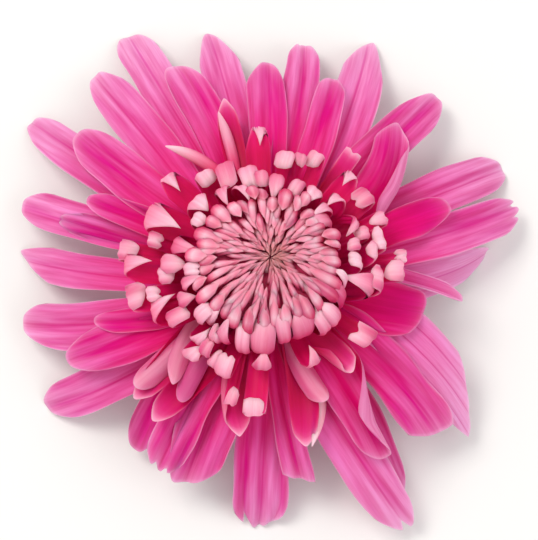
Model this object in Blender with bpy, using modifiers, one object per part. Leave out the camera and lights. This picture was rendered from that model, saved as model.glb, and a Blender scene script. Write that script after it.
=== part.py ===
"""Decorative chrysanthemum bloom with a dense incurved centre, picked with a short stub of stem.

The bloom lies face up: its axis is vertical, the lowest ray florets arch down and touch the surface
that it rests on, and so does the cut end of the stem. Every floret is one blade, made from a flat
grid that is bent to the same formula and then given its thickness.
"""
import math

import bmesh
import bpy
import numpy as np

MM = 0.001

# The bloom's axis, moved so that the origin is the middle of the ground that the bloom covers.
AXIS_X, AXIS_Y = -0.3, -2.0

# Stem and cup of bracts, in millimetres
STEM_RADIUS = 2.5
STEM_HEIGHT = 7.0
STEM_RIBS = 5
STEM_RIB_DEPTH = 0.18
STEM_SIDES = 30
GAP = 0.3
CUP_BOTTOM = STEM_HEIGHT + GAP
CUP_TOP = 15.0
CUP_RADIUS = 9.2
CUP_PROFILE = (
    # radius and height, from the top's middle round to the bottom's
    (0.0, CUP_TOP), (CUP_RADIUS, CUP_TOP), (CUP_RADIUS - 0.3, CUP_TOP - 2.0),
    (CUP_RADIUS - 2.2, CUP_BOTTOM + 2.6), (3.6, CUP_BOTTOM + 0.5), (2.9, CUP_BOTTOM), (0.0, CUP_BOTTOM),
)
BRACT_TURN = 26.0
BRACT_CELLS = (2, 2)
BRACT_FORM = {"claw": 0.8, "cup": 28.0, "claw_cup": 28.0, "tip_width": 0.4, "depth": 0.3, "point": 1.5}
BRACT_ROWS = (
    # bracts, root radius, root height, tip radius, tip height, width
    (8, 3.6, 9.0, 9.2, 11.2, 4.8),
    (10, 6.4, 10.8, 10.9, 14.3, 5.0),
)

# Discs that the florets grow from
RAY_DISC_RADIUS = 9.6
RAY_DISC_BOTTOM = CUP_TOP + GAP
RAY_DISC_TOP = 17.1
COLLAR_DISC_RADIUS = 10.2
COLLAR_DISC_BOTTOM = RAY_DISC_TOP + 2 * GAP
COLLAR_DISC_TOP = 19.6
DISC_SIDES = 26

BLADE = 0.62
WELD = 0.000003
SPINE_STATIONS = 41

# Where each layer of rays starts and how it arches: root height, tip height, turn in degrees.
# Neighbours in a layer lie one below the other by the layer's step at the tip.
RAY_LAYERS = {
    0: (15.9, 0.2, -36.0, 3.4),
    1: (16.2, 8.6, -28.0, 1.8),
    2: (16.5, 14.2, -16.0, 0.0),
}
RAY_ROOT_RADIUS = 7.5
OUTER_RAYS = (
    # root and tip direction in degrees, reach, width, layer, tip shape, twist in degrees
    (99, 102.3, 52.9, 9.0, 0, "point", 0),
    (86, 90, 43.6, 7.5, 1, "round", 0),
    (76, 81.4, 49.0, 7.8, 0, "round", 0),
    (65, 71.5, 41.5, 6.4, 1, "round", 0),
    (57, 67.8, 53.9, 9.8, 0, "point", 0),
    (52, 48.4, 50.3, 8.8, 0, "round", 0),
    (24, 47.5, 40.5, 8.4, 1, "round", 14),
    (31, 26.6, 52.6, 8.6, 0, "round", 0),
    (9, 17, 52.2, 9.2, 0, "notch", 0),
    (18, 21, 37.8, 6.8, 2, "round", 0),
    (-11, 8, 44.2, 6.6, 0, "round", 25),
    (6, -6, 38.2, 4.0, 1, "round", -20),
    (-17, -14, 30.0, 8.0, 2, "round", 0),
    (-13, -34.5, 49.0, 12.6, 0, "point", 0),
    (-39, -40.4, 43.5, 11.4, 1, "round", 0),
    (-53, -59, 41.5, 6.4, 1, "round", 10),
    (-55, -59.5, 49.8, 9.2, 0, "round", 0),
    (-68, -61, 54.5, 9.4, 0, "notch", 0),
    (-59, -76, 34.4, 7.0, 2, "round", 12),
    (-89, -91.6, 47.4, 11.4, 0, "round", 0),
    (-85, -79.5, 40.2, 6.8, 1, "point", 0),
    (-121, -119.5, 41.8, 8.6, 0, "round", 0),
    (-107, -111, 41.4, 10.4, 0, "round", 0),
    (-139, -129, 41.0, 7.4, 0, "round", 0),
    (-139, -150.6, 48.6, 9.6, 0, "round", 0),
    (-148, -158.5, 42.0, 8.0, 1, "round", 0),
    (-156, -170.4, 48.2, 9.8, 0, "round", 0),
    (-151, -168, 34.0, 5.0, 2, "round", 0),
    (185, 173, 48.5, 8.2, 0, "point", 0),
    (161, 161.6, 50.4, 8.6, 0, "round", 0),
    (171, 165, 42.0, 5.5, 1, "round", 0),
    (149, 145, 57.0, 8.4, 0, "round", 0),
    (145, 142.5, 46.8, 8.5, 1, "round", 0),
    (130, 128.4, 54.0, 9.4, 0, "round", 0),
    (153, 155, 36.5, 5.5, 2, "round", 0),
    (120, 119.2, 57.6, 9.0, 0, "round", 0),
    (111, 112.6, 46.2, 9.0, 1, "round", -12),
)
RAY_TIPS = {
    "round": {"depth": 0.13, "point": 2.6},
    "point": {"depth": 0.26, "point": 1.4},
    "notch": {"depth": 0.10, "point": 2.6, "notch": 0.05},
}
RAY_FORM = {"claw": 0.27, "cup": 16.0, "claw_cup": 40.0, "groove": 0.18, "wave": 0.25}
WIDE_RAY = 8.4
WIDE_CELLS = (4, 4)
NARROW_CELLS = (4, 2)

# Collar: where the middle of each turned-in tip lies, and how wide it is
COLLAR_ROOT_RADIUS = 8.2
COLLAR_ROOT_HEIGHT = 18.7
HOOKED = (
    # direction in degrees, radius, height, width
    (123, 19.4, 26.5, 3.4), (112, 18.2, 27.5, 3.4), (100, 16.9, 28.0, 3.8), (86, 16.4, 28.8, 3.4),
    (68, 16.2, 28.8, 3.4), (53, 16.4, 28.8, 3.6), (80, 20.1, 25.8, 3.6), (67, 21.6, 25.6, 3.8),
    (46, 22.9, 25.2, 3.8), (41, 17.5, 28.0, 3.6), (35, 21.9, 26.4, 3.6), (24, 22.2, 26.6, 3.6),
    (22, 17.5, 28.0, 3.6), (12, 20.3, 27.0, 3.0), (6, 16.6, 28.4, 3.6), (-8, 19.8, 27.2, 3.4),
    (0, 23.8, 25.4, 4.4), (-14, 16.7, 28.0, 4.8), (-30, 17.9, 27.6, 3.8), (-42, 16.4, 28.6, 3.8),
    (-62, 16.2, 28.8, 4.6), (-76, 16.9, 28.0, 3.4), (-88, 16.2, 28.4, 4.8), (-105, 16.4, 28.4, 3.2),
    (-96, 18.5, 26.4, 3.6), (-114, 19.4, 26.2, 4.2), (-128, 20.6, 25.6, 4.0), (-124, 16.9, 28.0, 3.2),
    (-138, 17.5, 27.6, 4.2), (-148, 18.9, 26.8, 3.6), (-158, 16.4, 28.2, 3.6), (-160, 20.4, 26.0, 4.2),
    (-174, 17.9, 27.2, 3.6), (175, 16.7, 28.0, 3.2), (164, 16.4, 28.4, 3.4), (156, 21.0, 26.2, 5.4),
    (143, 16.6, 28.4, 4.6), (134, 24.0, 24.6, 3.8), (169, 21.4, 25.6, 3.4), (170, 25.3, 24.2, 3.6),
    (179, 23.8, 24.8, 4.6), (-170, 24.0, 24.6, 3.6), (-92, 24.9, 24.2, 4.4), (-68, 24.1, 24.8, 4.4),
    (-50, 22.8, 25.4, 4.2), (-35, 21.8, 25.8, 4.2), (124, 27.8, 23.6, 3.8), (93, 26.0, 24.2, 4.0),
    (56, 28.2, 23.8, 3.8),
)
BOATS = (
    # root and tip direction in degrees, radius and height of the tip, width
    (-143, -137, 34.2, 21.4, 4.6),
    (-152, -128, 28.2, 20.4, 3.8),
    (-126, -123, 30.2, 19.8, 4.2),
    (-120, -127, 35.2, 17.8, 6.0),
    (-110, -99, 31.8, 18.8, 5.6),
    (-80, -65, 28.2, 21.4, 5.0),
    (-54, -46, 25.8, 20.6, 5.0),
    (113, 130, 29.8, 20.2, 4.6),
    (107, 104.5, 33.4, 19.4, 4.6),
    (54, 54, 28.2, 20.4, 3.8),
)
HOOK_TURN = 150.0
HOOK_AIM = 0.86
HOOK_BEND_POWER = 2.1
HOOK_CELLS = (5, 2)
BOAT_CELLS = (4, 2)
HOOK_FORM = {"claw": 0.32, "cup": 46.0, "claw_cup": 46.0, "widest": 0.8, "tip_width": 0.6, "depth": 0.06,
             "point": 2.0}
FAR_HOOK_RADIUS = 23.0
FAR_HOOK_TURN = 138.0
FAR_HOOK_BEND_POWER = 3.4
BOAT_TURN = 34.0
BOAT_BEND_POWER = 3.0
BOAT_FORM = {"claw": 0.32, "cup": 58.0, "claw_cup": 48.0, "widest": 0.7, "tip_width": 0.5, "depth": 0.1,
             "point": 1.8}

# Centre: florets by the golden angle on a flattened ball, each leaning in over the next ones
CENTRE_COUNT = 55
GOLDEN_ANGLE = math.pi * (3.0 - math.sqrt(5.0))
CORE_RADIUS = 12.4
CORE_BOTTOM = COLLAR_DISC_TOP + GAP
CORE_MIDDLE = 24.4
CORE_RISE = 5.6
CORE_SEGMENTS = 24
CORE_RINGS = 10
HEAD_RADIUS = 14.0
HEAD_RISE = 7.8
CENTRE_TIP_RADIUS = 12.6
CENTRE_TIP_POWER = 0.6
CENTRE_TIP_OFFSET = 0.6
CENTRE_LENGTHS = (2.4, 6.0)
CENTRE_WIDTHS = (2.0, 4.3)
CENTRE_ROOT_SHARE = 0.62
CENTRE_ROOT_MARGIN = 0.9
CENTRE_ROOT_DEPTH = 1.0
CENTRE_TIP_DEPTH = 0.2
CENTRE_BEND = 84.0
CENTRE_CELLS = (3, 2)
CENTRE_FORM = {"claw": 0.6, "cup": 40.0, "claw_cup": 40.0, "tip_width": 0.6, "depth": 0.16, "point": 2.0}

MATERIALS = {
    "stem": ((0.25, 0.34, 0.14), 0.55),
    "involucre": ((0.22, 0.36, 0.13), 0.6),
    "outer_rays": ((0.76, 0.05, 0.36), 0.5),
    "collar_florets": ((0.86, 0.30, 0.46), 0.5),
    "centre_florets": ((0.86, 0.36, 0.44), 0.5),
}


def clear_scene():
    for thing in list(bpy.data.objects):
        bpy.data.objects.remove(thing)


def new_collection(name):
    group = bpy.data.collections.new(name)
    bpy.context.scene.collection.children.link(group)
    return group


def material(name):
    colour, roughness = MATERIALS[name]
    made = bpy.data.materials.new(name)
    made.use_nodes = True
    made.diffuse_color = (*colour, 1.0)
    shader = made.node_tree.nodes["Principled BSDF"]
    shader.inputs["Base Color"].default_value = (*colour, 1.0)
    shader.inputs["Roughness"].default_value = roughness
    shader.inputs["Metallic"].default_value = 0.0
    return made


def spine(root, aim, aim_station, turn, bend_power):
    """A midrib in the upright plane through the axis, as stations of radius, height and heading.

    It leaves the root (radius, height), turns by turn degrees in all, most of it late where
    bend_power is high, and passes through the aim point at the share aim_station of its length.
    """
    along = np.linspace(0.0, 1.0, SPINE_STATIONS)
    heading = math.radians(turn) * along**bend_power
    step = 1.0 / (SPINE_STATIONS - 1)
    out = np.concatenate(([0.0], np.cumsum((np.cos(heading[1:]) + np.cos(heading[:-1])) * step / 2)))
    up = np.concatenate(([0.0], np.cumsum((np.sin(heading[1:]) + np.sin(heading[:-1])) * step / 2)))
    aim_out = np.interp(aim_station, along, out)
    aim_up = np.interp(aim_station, along, up)
    wanted = math.atan2(aim[1] - root[1], aim[0] - root[0])
    lean = wanted - math.atan2(aim_up, aim_out)
    length = math.hypot(aim[0] - root[0], aim[1] - root[1]) / math.hypot(aim_out, aim_up)
    radius = root[0] + length * (out * math.cos(lean) - up * math.sin(lean))
    height = root[1] + length * (out * math.sin(lean) + up * math.cos(lean))
    return along, radius, height, heading + lean


def blade(name, group, line, directions, width, cells, **form):
    """One floret: a grid bent along its midrib line, cupped and grooved across, with its thickness.

    directions are the compass directions of root and tip, in degrees. form may hold claw, the
    root's share of the width; cup, how many degrees each half curls up across; claw_cup, the same
    at the root; widest and tip_width, the shape of the outline; depth and point, how far and how
    sharply the tip is cut back to its sides; notch, the tip's middle cut; groove, wave and twist.
    """
    claw = form.get("claw", 0.4)
    cup = math.radians(form.get("cup", 25.0))
    claw_cup = math.radians(form.get("claw_cup", 60.0))
    widest = form.get("widest", 0.62)
    tip_width = form.get("tip_width", 0.75)
    depth = form.get("depth", 0.14)
    point = form.get("point", 2.4)
    notch = form.get("notch", 0.0)
    groove = form.get("groove", 0.0)
    wave = form.get("wave", 0.0)
    twist = math.radians(form.get("twist", 0.0))

    grid = bmesh.new()
    bmesh.ops.create_grid(grid, x_segments=cells[0], y_segments=cells[1], size=1.0)
    flat = np.array([vertex.co for vertex in grid.verts])
    across = flat[:, 1]
    column = 1.0 - depth * np.abs(across) ** point - notch * (1.0 - np.abs(across)) ** 2
    share = (flat[:, 0] + 1.0) / 2.0 * column

    along, radius, height, heading = line
    r = np.interp(share, along, radius)
    z = np.interp(share, along, height)
    h = np.interp(share, along, heading)
    turn = np.radians(directions[0] + (directions[1] - directions[0]) * share)
    swell = np.sin(np.clip(share / widest, 0.0, 1.0) * math.pi / 2)
    taper = np.clip((share - widest) / (1.0 - widest), 0.0, 1.0) ** 2
    half = width / 2 * (claw + (1.0 - claw) * swell - (1.0 - tip_width) * taper)
    curl = claw_cup + (cup - claw_cup) * np.clip(share / 0.5, 0.0, 1.0)
    side = half / curl * np.sin(curl * across)
    lift = half / curl * (1.0 - np.cos(curl * across))
    lift += groove * np.cos(2 * math.pi * across) * swell
    lift += wave * across * np.abs(across) * np.sin(3 * math.pi * share)
    turned = twist * share**2
    side, lift = (side * np.cos(turned) - lift * np.sin(turned),
                  side * np.sin(turned) + lift * np.cos(turned))

    r -= lift * np.sin(h)
    x = AXIS_X + r * np.cos(turn) - side * np.sin(turn)
    y = AXIS_Y + r * np.sin(turn) + side * np.cos(turn)
    z += lift * np.cos(h)
    for vertex, place in zip(grid.verts, np.stack((x, y, z), axis=1) * MM):
        vertex.co = place
    bmesh.ops.triangulate(grid, faces=grid.faces, quad_method="ALTERNATE")
    mesh = bpy.data.meshes.new(name)
    grid.to_mesh(mesh)
    grid.free()
    floret = bpy.data.objects.new(name, mesh)
    group.objects.link(floret)
    wall = floret.modifiers.new("thickness", "SOLIDIFY")
    wall.thickness = BLADE * MM
    wall.offset = 0.0
    return floret


def disc(name, group, radius, bottom, top):
    """A flat round plate between two heights, on the bloom's axis."""
    plate = bmesh.new()
    bmesh.ops.create_cone(
        plate, cap_ends=True, segments=DISC_SIDES, radius1=radius * MM, radius2=radius * MM,
        depth=(top - bottom) * MM)
    bmesh.ops.translate(plate, verts=plate.verts, vec=(AXIS_X * MM, AXIS_Y * MM, (top + bottom) / 2 * MM))
    mesh = bpy.data.meshes.new(name)
    plate.to_mesh(mesh)
    plate.free()
    made = bpy.data.objects.new(name, mesh)
    group.objects.link(made)
    return made


def island_volume(faces):
    """Signed volume inside a closed group of triangles."""
    total = 0.0
    for face in faces:
        a, b, c = (vertex.co for vertex in face.verts)
        total += a.dot(b.cross(c)) / 6.0
    return total


def keep_main_body(mesh):
    """Fills what a union sealed and drops loose scraps: only the largest outer skin stays."""
    skin = bmesh.new()
    skin.from_mesh(mesh)
    bmesh.ops.triangulate(skin, faces=skin.faces)
    bmesh.ops.remove_doubles(skin, verts=skin.verts, dist=WELD)
    bmesh.ops.dissolve_degenerate(skin, edges=skin.edges, dist=WELD)
    bmesh.ops.triangulate(skin, faces=skin.faces)
    by_corners = {}
    for face in skin.faces:
        by_corners.setdefault(frozenset(face.verts), []).append(face)
    folded = [face for faces in by_corners.values() for face in faces[:len(faces) // 2 * 2]
              if len(faces) > 1]
    bmesh.ops.delete(skin, geom=folded, context="FACES")
    waiting = set(skin.faces)
    islands = []
    while waiting:
        front = [waiting.pop()]
        island = []
        while front:
            face = front.pop()
            island.append(face)
            for edge in face.edges:
                for other in edge.link_faces:
                    if other in waiting:
                        waiting.remove(other)
                        front.append(other)
        islands.append(island)
    islands.sort(key=island_volume)
    for island in islands[:-1]:
        bmesh.ops.delete(skin, geom=island, context="FACES")
    loose = [vertex for vertex in skin.verts if not vertex.link_faces]
    bmesh.ops.delete(skin, geom=loose, context="VERTS")
    skin.to_mesh(mesh)
    skin.free()


def fuse(base, florets):
    """Joins a collection's florets to what they grow from and removes the loose ones."""
    union = base.modifiers.new("join_florets", "BOOLEAN")
    union.operation = "UNION"
    union.operand_type = "COLLECTION"
    union.collection = florets
    union.solver = "MANIFOLD"
    shown = bpy.context.evaluated_depsgraph_get()
    fused = bpy.data.meshes.new_from_object(base.evaluated_get(shown))
    base.modifiers.clear()
    base.data = fused
    for floret in list(florets.objects):
        bpy.data.objects.remove(floret)
    bpy.data.collections.remove(florets)
    keep_main_body(fused)
    fused.materials.clear()
    fused.materials.append(material(base.name))


def press_flat(mesh):
    """Flattens what would reach below the surface that the bloom rests on."""
    for vertex in mesh.vertices:
        if vertex.co.z < 0.0:
            vertex.co.z = 0.0


def make_stem(part):
    """Ribbed stub, from the surface up to the cup, with a flat cut end."""
    stub = bmesh.new()
    bmesh.ops.create_cone(
        stub, cap_ends=True, segments=STEM_SIDES, radius1=STEM_RADIUS * MM,
        radius2=STEM_RADIUS * MM, depth=STEM_HEIGHT * MM)
    for vertex in stub.verts:
        angle = math.atan2(vertex.co.y, vertex.co.x)
        ribbed = 1.0 - STEM_RIB_DEPTH / STEM_RADIUS * (1.0 - math.cos(STEM_RIBS * angle))
        vertex.co.x *= ribbed
        vertex.co.y *= ribbed
    bmesh.ops.translate(stub, verts=stub.verts, vec=(AXIS_X * MM, AXIS_Y * MM, STEM_HEIGHT / 2 * MM))
    mesh = bpy.data.meshes.new("stem")
    stub.to_mesh(mesh)
    stub.free()
    mesh.materials.append(material("stem"))
    part.objects.link(bpy.data.objects.new("stem", mesh))


def make_involucre(part):
    """Cup under the florets: a turned profile with two rows of overlapping bracts."""
    mesh = bpy.data.meshes.new("involucre")
    corners = [(radius * MM, 0.0, height * MM) for radius, height in CUP_PROFILE]
    mesh.from_pydata(corners, [(i, i + 1) for i in range(len(corners) - 1)], [])
    cup = bpy.data.objects.new("involucre", mesh)
    part.objects.link(cup)
    turned = cup.modifiers.new("turn", "SCREW")
    turned.steps = turned.render_steps = DISC_SIDES
    turned.use_merge_vertices = True
    turned.merge_threshold = WELD
    turned.use_normal_calculate = False
    shown = bpy.context.evaluated_depsgraph_get()
    solid = bpy.data.meshes.new_from_object(cup.evaluated_get(shown))
    cup.modifiers.clear()
    cup.data = solid
    for vertex in solid.vertices:
        vertex.co.x += AXIS_X * MM
        vertex.co.y += AXIS_Y * MM
    bracts = new_collection("bracts")
    for row, (count, root_r, root_z, tip_r, tip_z, width) in enumerate(BRACT_ROWS):
        line = spine((root_r, root_z), (tip_r, tip_z), 1.0, BRACT_TURN, 1.0)
        for i in range(count):
            way = 360.0 * (i + 0.5 * (row % 2)) / count
            blade(f"bract_{row}_{i}", bracts, line, (way, way), width, BRACT_CELLS, **BRACT_FORM)
    fuse(cup, bracts)


def make_outer_rays(part):
    """Long ray florets in three layers on the lower disc."""
    base = disc("outer_rays", part, RAY_DISC_RADIUS, RAY_DISC_BOTTOM, RAY_DISC_TOP)
    rays = new_collection("rays")
    raised = {layer: 0 for layer in RAY_LAYERS}
    for i, (root_way, tip_way, reach, width, layer, tip, twist) in enumerate(OUTER_RAYS):
        root_z, tip_z, turn, step = RAY_LAYERS[layer]
        tip_z += step * raised[layer]
        raised[layer] = 1 - raised[layer]
        line = spine((RAY_ROOT_RADIUS, root_z), (reach, tip_z), 1.0, turn, 1.0)
        cells = WIDE_CELLS if width > WIDE_RAY else NARROW_CELLS
        blade(f"ray_{i}", rays, line, (root_way, tip_way), width, cells,
              **RAY_FORM, **RAY_TIPS[tip], twist=twist)
    fuse(base, rays)
    press_flat(base.data)


def make_collar(part):
    """Shorter florets round the centre: most hook inwards at the tip, the lowest lie like boats."""
    base = disc("collar_florets", part, COLLAR_DISC_RADIUS, COLLAR_DISC_BOTTOM, COLLAR_DISC_TOP)
    florets = new_collection("collar")
    root = (COLLAR_ROOT_RADIUS, COLLAR_ROOT_HEIGHT)
    for i, (way, radius, height, width) in enumerate(HOOKED):
        far = radius > FAR_HOOK_RADIUS
        turn = FAR_HOOK_TURN if far else HOOK_TURN
        power = FAR_HOOK_BEND_POWER if far else HOOK_BEND_POWER
        line = spine(root, (radius, height), HOOK_AIM, turn, power)
        blade(f"hook_{i}", florets, line, (way, way), width, HOOK_CELLS, **HOOK_FORM)
    for i, (root_way, tip_way, radius, height, width) in enumerate(BOATS):
        line = spine(root, (radius, height), 1.0, BOAT_TURN, BOAT_BEND_POWER)
        blade(f"boat_{i}", florets, line, (root_way, tip_way), width, BOAT_CELLS, **BOAT_FORM)
    fuse(base, florets)


def ball_height(radius, widest, rise):
    """Height of a flattened ball's upper half at a radius from its axis."""
    return CORE_MIDDLE + rise * math.sqrt(max(0.0, 1.0 - (radius / widest) ** 2))


def make_centre(part):
    """Dense head: a flattened ball under florets that all lean in towards its top."""
    core = bmesh.new()
    bmesh.ops.create_uvsphere(core, u_segments=CORE_SEGMENTS, v_segments=CORE_RINGS, radius=1.0)
    for vertex in core.verts:
        vertex.co.x = (AXIS_X + vertex.co.x * CORE_RADIUS) * MM
        vertex.co.y = (AXIS_Y + vertex.co.y * CORE_RADIUS) * MM
        rise = CORE_RISE if vertex.co.z > 0.0 else CORE_MIDDLE - CORE_BOTTOM
        vertex.co.z = (CORE_MIDDLE + vertex.co.z * rise) * MM
    mesh = bpy.data.meshes.new("centre_florets")
    core.to_mesh(mesh)
    core.free()
    base = bpy.data.objects.new("centre_florets", mesh)
    part.objects.link(base)
    florets = new_collection("centre")
    for i in range(CENTRE_COUNT):
        share = (i + 0.6) / CENTRE_COUNT
        tip_radius = CENTRE_TIP_RADIUS * share**CENTRE_TIP_POWER - CENTRE_TIP_OFFSET
        length = CENTRE_LENGTHS[0] + (CENTRE_LENGTHS[1] - CENTRE_LENGTHS[0]) * share
        width = CENTRE_WIDTHS[0] + (CENTRE_WIDTHS[1] - CENTRE_WIDTHS[0]) * share
        root_radius = min(tip_radius + length * CENTRE_ROOT_SHARE, CORE_RADIUS - CENTRE_ROOT_MARGIN)
        root = (root_radius, ball_height(root_radius, CORE_RADIUS, CORE_RISE) - CENTRE_ROOT_DEPTH)
        aim = (tip_radius, ball_height(max(tip_radius, 0.0), HEAD_RADIUS, HEAD_RISE) - CENTRE_TIP_DEPTH)
        line = spine(root, aim, 1.0, CENTRE_BEND, 1.0)
        way = math.degrees(i * GOLDEN_ANGLE)
        blade(f"inner_{i}", florets, line, (way, way), width, CENTRE_CELLS, **CENTRE_FORM)
    fuse(base, florets)


def main():
    clear_scene()
    part = new_collection("chrysanthemum_bloom")
    make_stem(part)
    make_involucre(part)
    make_outer_rays(part)
    make_collar(part)
    make_centre(part)


main()
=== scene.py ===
# Chrysanthemum bloom, lying face up. The florets are thin closed shells worked out with numpy.
import math

import bpy
import numpy as np
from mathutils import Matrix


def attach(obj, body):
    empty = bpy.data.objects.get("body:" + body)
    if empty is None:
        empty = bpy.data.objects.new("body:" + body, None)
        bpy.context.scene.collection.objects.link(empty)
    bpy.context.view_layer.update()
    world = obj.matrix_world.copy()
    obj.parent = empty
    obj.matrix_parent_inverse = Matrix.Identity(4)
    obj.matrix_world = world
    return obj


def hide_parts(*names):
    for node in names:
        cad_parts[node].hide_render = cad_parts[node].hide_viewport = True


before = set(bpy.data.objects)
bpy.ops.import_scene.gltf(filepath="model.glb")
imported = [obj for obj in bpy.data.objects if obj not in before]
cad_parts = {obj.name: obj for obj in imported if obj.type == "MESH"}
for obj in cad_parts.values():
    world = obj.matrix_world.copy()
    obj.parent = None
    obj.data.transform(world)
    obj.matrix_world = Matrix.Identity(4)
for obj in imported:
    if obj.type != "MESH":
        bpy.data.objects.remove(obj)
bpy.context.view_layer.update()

mm = 0.001
body = "root"
bloomAxis = (-0.3, -2.0)  # mm from the origin
lineSteps = 60  # points along a midrib
curveSteps = 80  # points that a hooked midrib is measured with
discSides = 40  # sides of the discs and of the cup
sharpAngle = 70.0  # degrees; only the knife-thin rims are sharper


def linearColour(code):
    # sRGB hex to linear values, by the standard's curve
    parts = np.array([int(code[i:i + 2], 16) for i in (1, 3, 5)]) / 255.0
    linear = np.where(parts <= 0.04045, parts / 12.92, ((parts + 0.055) / 1.055) ** 2.4)
    return (*linear.tolist(), 1.0)


def addNode(tree, kind, links, stops=(), **settings):
    # links gives each input its value, or the socket that feeds it; stops are a ramp's colours
    node = tree.nodes.new(kind)
    for key, value in settings.items():
        setattr(node, key, value)
    for key, value in links.items():
        if isinstance(value, bpy.types.NodeSocket):
            tree.links.new(value, node.inputs[key])
        else:
            node.inputs[key].default_value = value
    for i, (place, code) in enumerate(stops):
        marks = node.color_ramp.elements
        mark = marks[i] if i < len(marks) else marks.new(1.0)
        mark.position = place
        mark.color = linearColour(code)
    return node


def addObject(name, data):
    added = bpy.data.objects.new(name, data)
    bpy.context.scene.collection.objects.link(added)
    return added


def sway(number, size, pace):
    # a floret's own stray from the rule: a sine of its number, so that no two neighbours are alike
    return size * math.sin(number * pace)


def arcLine(root, tip, turn, bendPower=1.0):
    # A midrib in an upright plane through the axis. Its heading turns by turn degrees in all, as
    # share ** bendPower, and it is leant and sized so that it runs from the root to the tip.
    # Gives share, radius, height and heading at even steps, and the length.
    share = np.linspace(0.0, 1.0, lineSteps + 1)
    heading = np.radians(turn) * share ** bendPower
    step = share[1] / 2
    out = np.concatenate(([0.0], np.cumsum((np.cos(heading[1:]) + np.cos(heading[:-1])) * step)))
    up = np.concatenate(([0.0], np.cumsum((np.sin(heading[1:]) + np.sin(heading[:-1])) * step)))
    across, rise = tip[0] - root[0], tip[1] - root[1]
    lean = math.atan2(rise, across) - math.atan2(up[-1], out[-1])
    length = math.hypot(across, rise) / math.hypot(out[-1], up[-1])
    radius = root[0] + length * (out * math.cos(lean) - up * math.sin(lean))
    height = root[1] + length * (out * math.sin(lean) + up * math.cos(lean))
    return share, radius, height, heading + lean, length


def cubicLine(handles):
    # The same for a hooked floret: a cubic curve from the first to the last of four (radius,
    # height) points, drawn towards the two between, and read off at even steps of its length.
    t = np.linspace(0.0, 1.0, curveSteps + 1)[:, None]
    weights = np.concatenate(((1 - t) ** 3, 3 * (1 - t) ** 2 * t, 3 * (1 - t) * t ** 2, t ** 3), axis=1)
    points = weights @ np.array(handles)
    run = np.concatenate(([0.0], np.cumsum(np.linalg.norm(np.diff(points, axis=0), axis=1))))
    slope = np.gradient(points, axis=0)
    heading = np.unwrap(np.arctan2(slope[:, 1], slope[:, 0]))
    share = np.linspace(0.0, 1.0, lineSteps + 1)
    values = (np.interp(share, run / run[-1], column) for column in (*points.T, heading))
    return share, *values, run[-1]


headShape = {
    # height of the florets' backs by radius, in mm: a low dome with a shallow dimple at its middle
    "top": 31.3, "fall": 4.5, "fallRadius": 20.0, "dimple": 1.1, "dimpleRadius": 4.5,
}
handleRise = 0.12  # how far up a hook's first handle lies, as a share of its rise


def domeHeight(radius):
    s = headShape
    return (s["top"] - s["fall"] * (radius / s["fallRadius"]) ** 2
            - s["dimple"] * math.exp(-(radius / s["dimpleRadius"]) ** 2))


def hookLine(root, outer, inner, arch, tip):
    # Out and up from the root, over at the outer radius and in to the tip; arch and tip are heights
    # above the dome. At the curve's middle the handles weigh three quarters, so they are pulled out
    # by a third more than the outer radius.
    pull = (outer - (root[0] + inner) / 8) / 0.75
    tipHeight = domeHeight(inner) + tip
    low = root[1] + handleRise * (tipHeight - root[1])
    return cubicLine((root, (pull, low), (pull, domeHeight(outer) + arch), (inner, tipHeight)))


plainFloret = {
    # what a floret's form may say. It always gives its thickness in mm, its tone from 0 deep to 1
    # pale, and tipDepth and tipPower, which cut the tip. Angles are degrees.
    "bow": 0.0,  # an arc between the directions of root and tip
    "claw": 0.42, "widest": 0.62, "tipWidth": 0.75,  # shares: root's width, widest place, tip's width
    "uneven": 0.0, "tipOval": 0.0, "skew": 0.0,  # strays of the outline, how oval the tip is, its lean
    "notches": (),  # place across, depth and spread of each
    "cup": 16.0, "clawCup": 40.0, "tipCup": None,  # how steeply the margins rise
    # how far either margin rolls up, outwards from rollEdge, and from rollFrom of the length on
    "rollCw": 0.0, "rollCcw": 0.0, "rollEdge": 0.3, "rollPower": 1.2, "rollFrom": 0.15, "rollFade": 0.0,
    # groove and wave are heights in mm, ridges and waves say how many
    "groove": 0.2, "ridges": 2, "ridgeShift": 0.0, "wave": 0.25, "waves": 1.5, "phase": 0.0,
    "crown": 0.0, "twist": 0.0, "tilt": 0.0,
    "marginShadeAndTone": 0.0, "rimPower": 9.0, "dustAndShade": 0.0,  # tone added at the margins (painted shade where below zero), the rim, the share of a painted shade colour
    # mm: the stretch before the tip that pales, the length of a ray that pales in full, and the
    # stretch before the tip that pales on the back
    "paleLength": None, "fullLength": None, "backLength": None,
}
floretRules = {
    "clawEnd": 0.5, "tipStart": 0.66,  # where the cup of the claw ends and the tip's begins
    "rollGrowth": 0.3, "fadeStart": 0.75,  # how soon a roll is full, and where it fades
    "ovalSpread": 0.6, "ovalDepth": 1.3,  # how tipOval crowds the columns, and how deep its oval is
    "coarseRipple": 7.0, "fineRipple": 19.0, "ripplePhase": 1.3, "finePhase": 1.7,
    "marginShift": 2.4, "frillShift": 2.0,  # what sets the two margins apart
    "thinning": 0.6,  # how much thinner the wall is at the margin
    "shortPaling": 0.3,  # what a very short ray keeps of its paling
    "tipRimPower": 22, "rimSlope": 1.6, "rimOffset": 0.5,  # how narrow the pale rim is, where it begins
    # slow changes of tone: their size, how fast they run along and across, and what a seed adds
    "drift": 0.15, "driftAlong": 5.0, "driftAcross": 2.0, "driftSeed": 1.7,
}


def held(values):
    # kept between 0 and 1
    return np.clip(values, 0.0, 1.0)


def joined(*grids):
    # the vectors of several grids, one after another
    return np.concatenate([grid.reshape(-1, 3) for grid in grids])


def runningSum(values, step):
    # the integral across the floret, by trapezia
    added = np.cumsum((values[:, 1:] + values[:, :-1]) * step, axis=1)
    return np.concatenate((np.zeros_like(values[:, :1]), added), axis=1)


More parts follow.
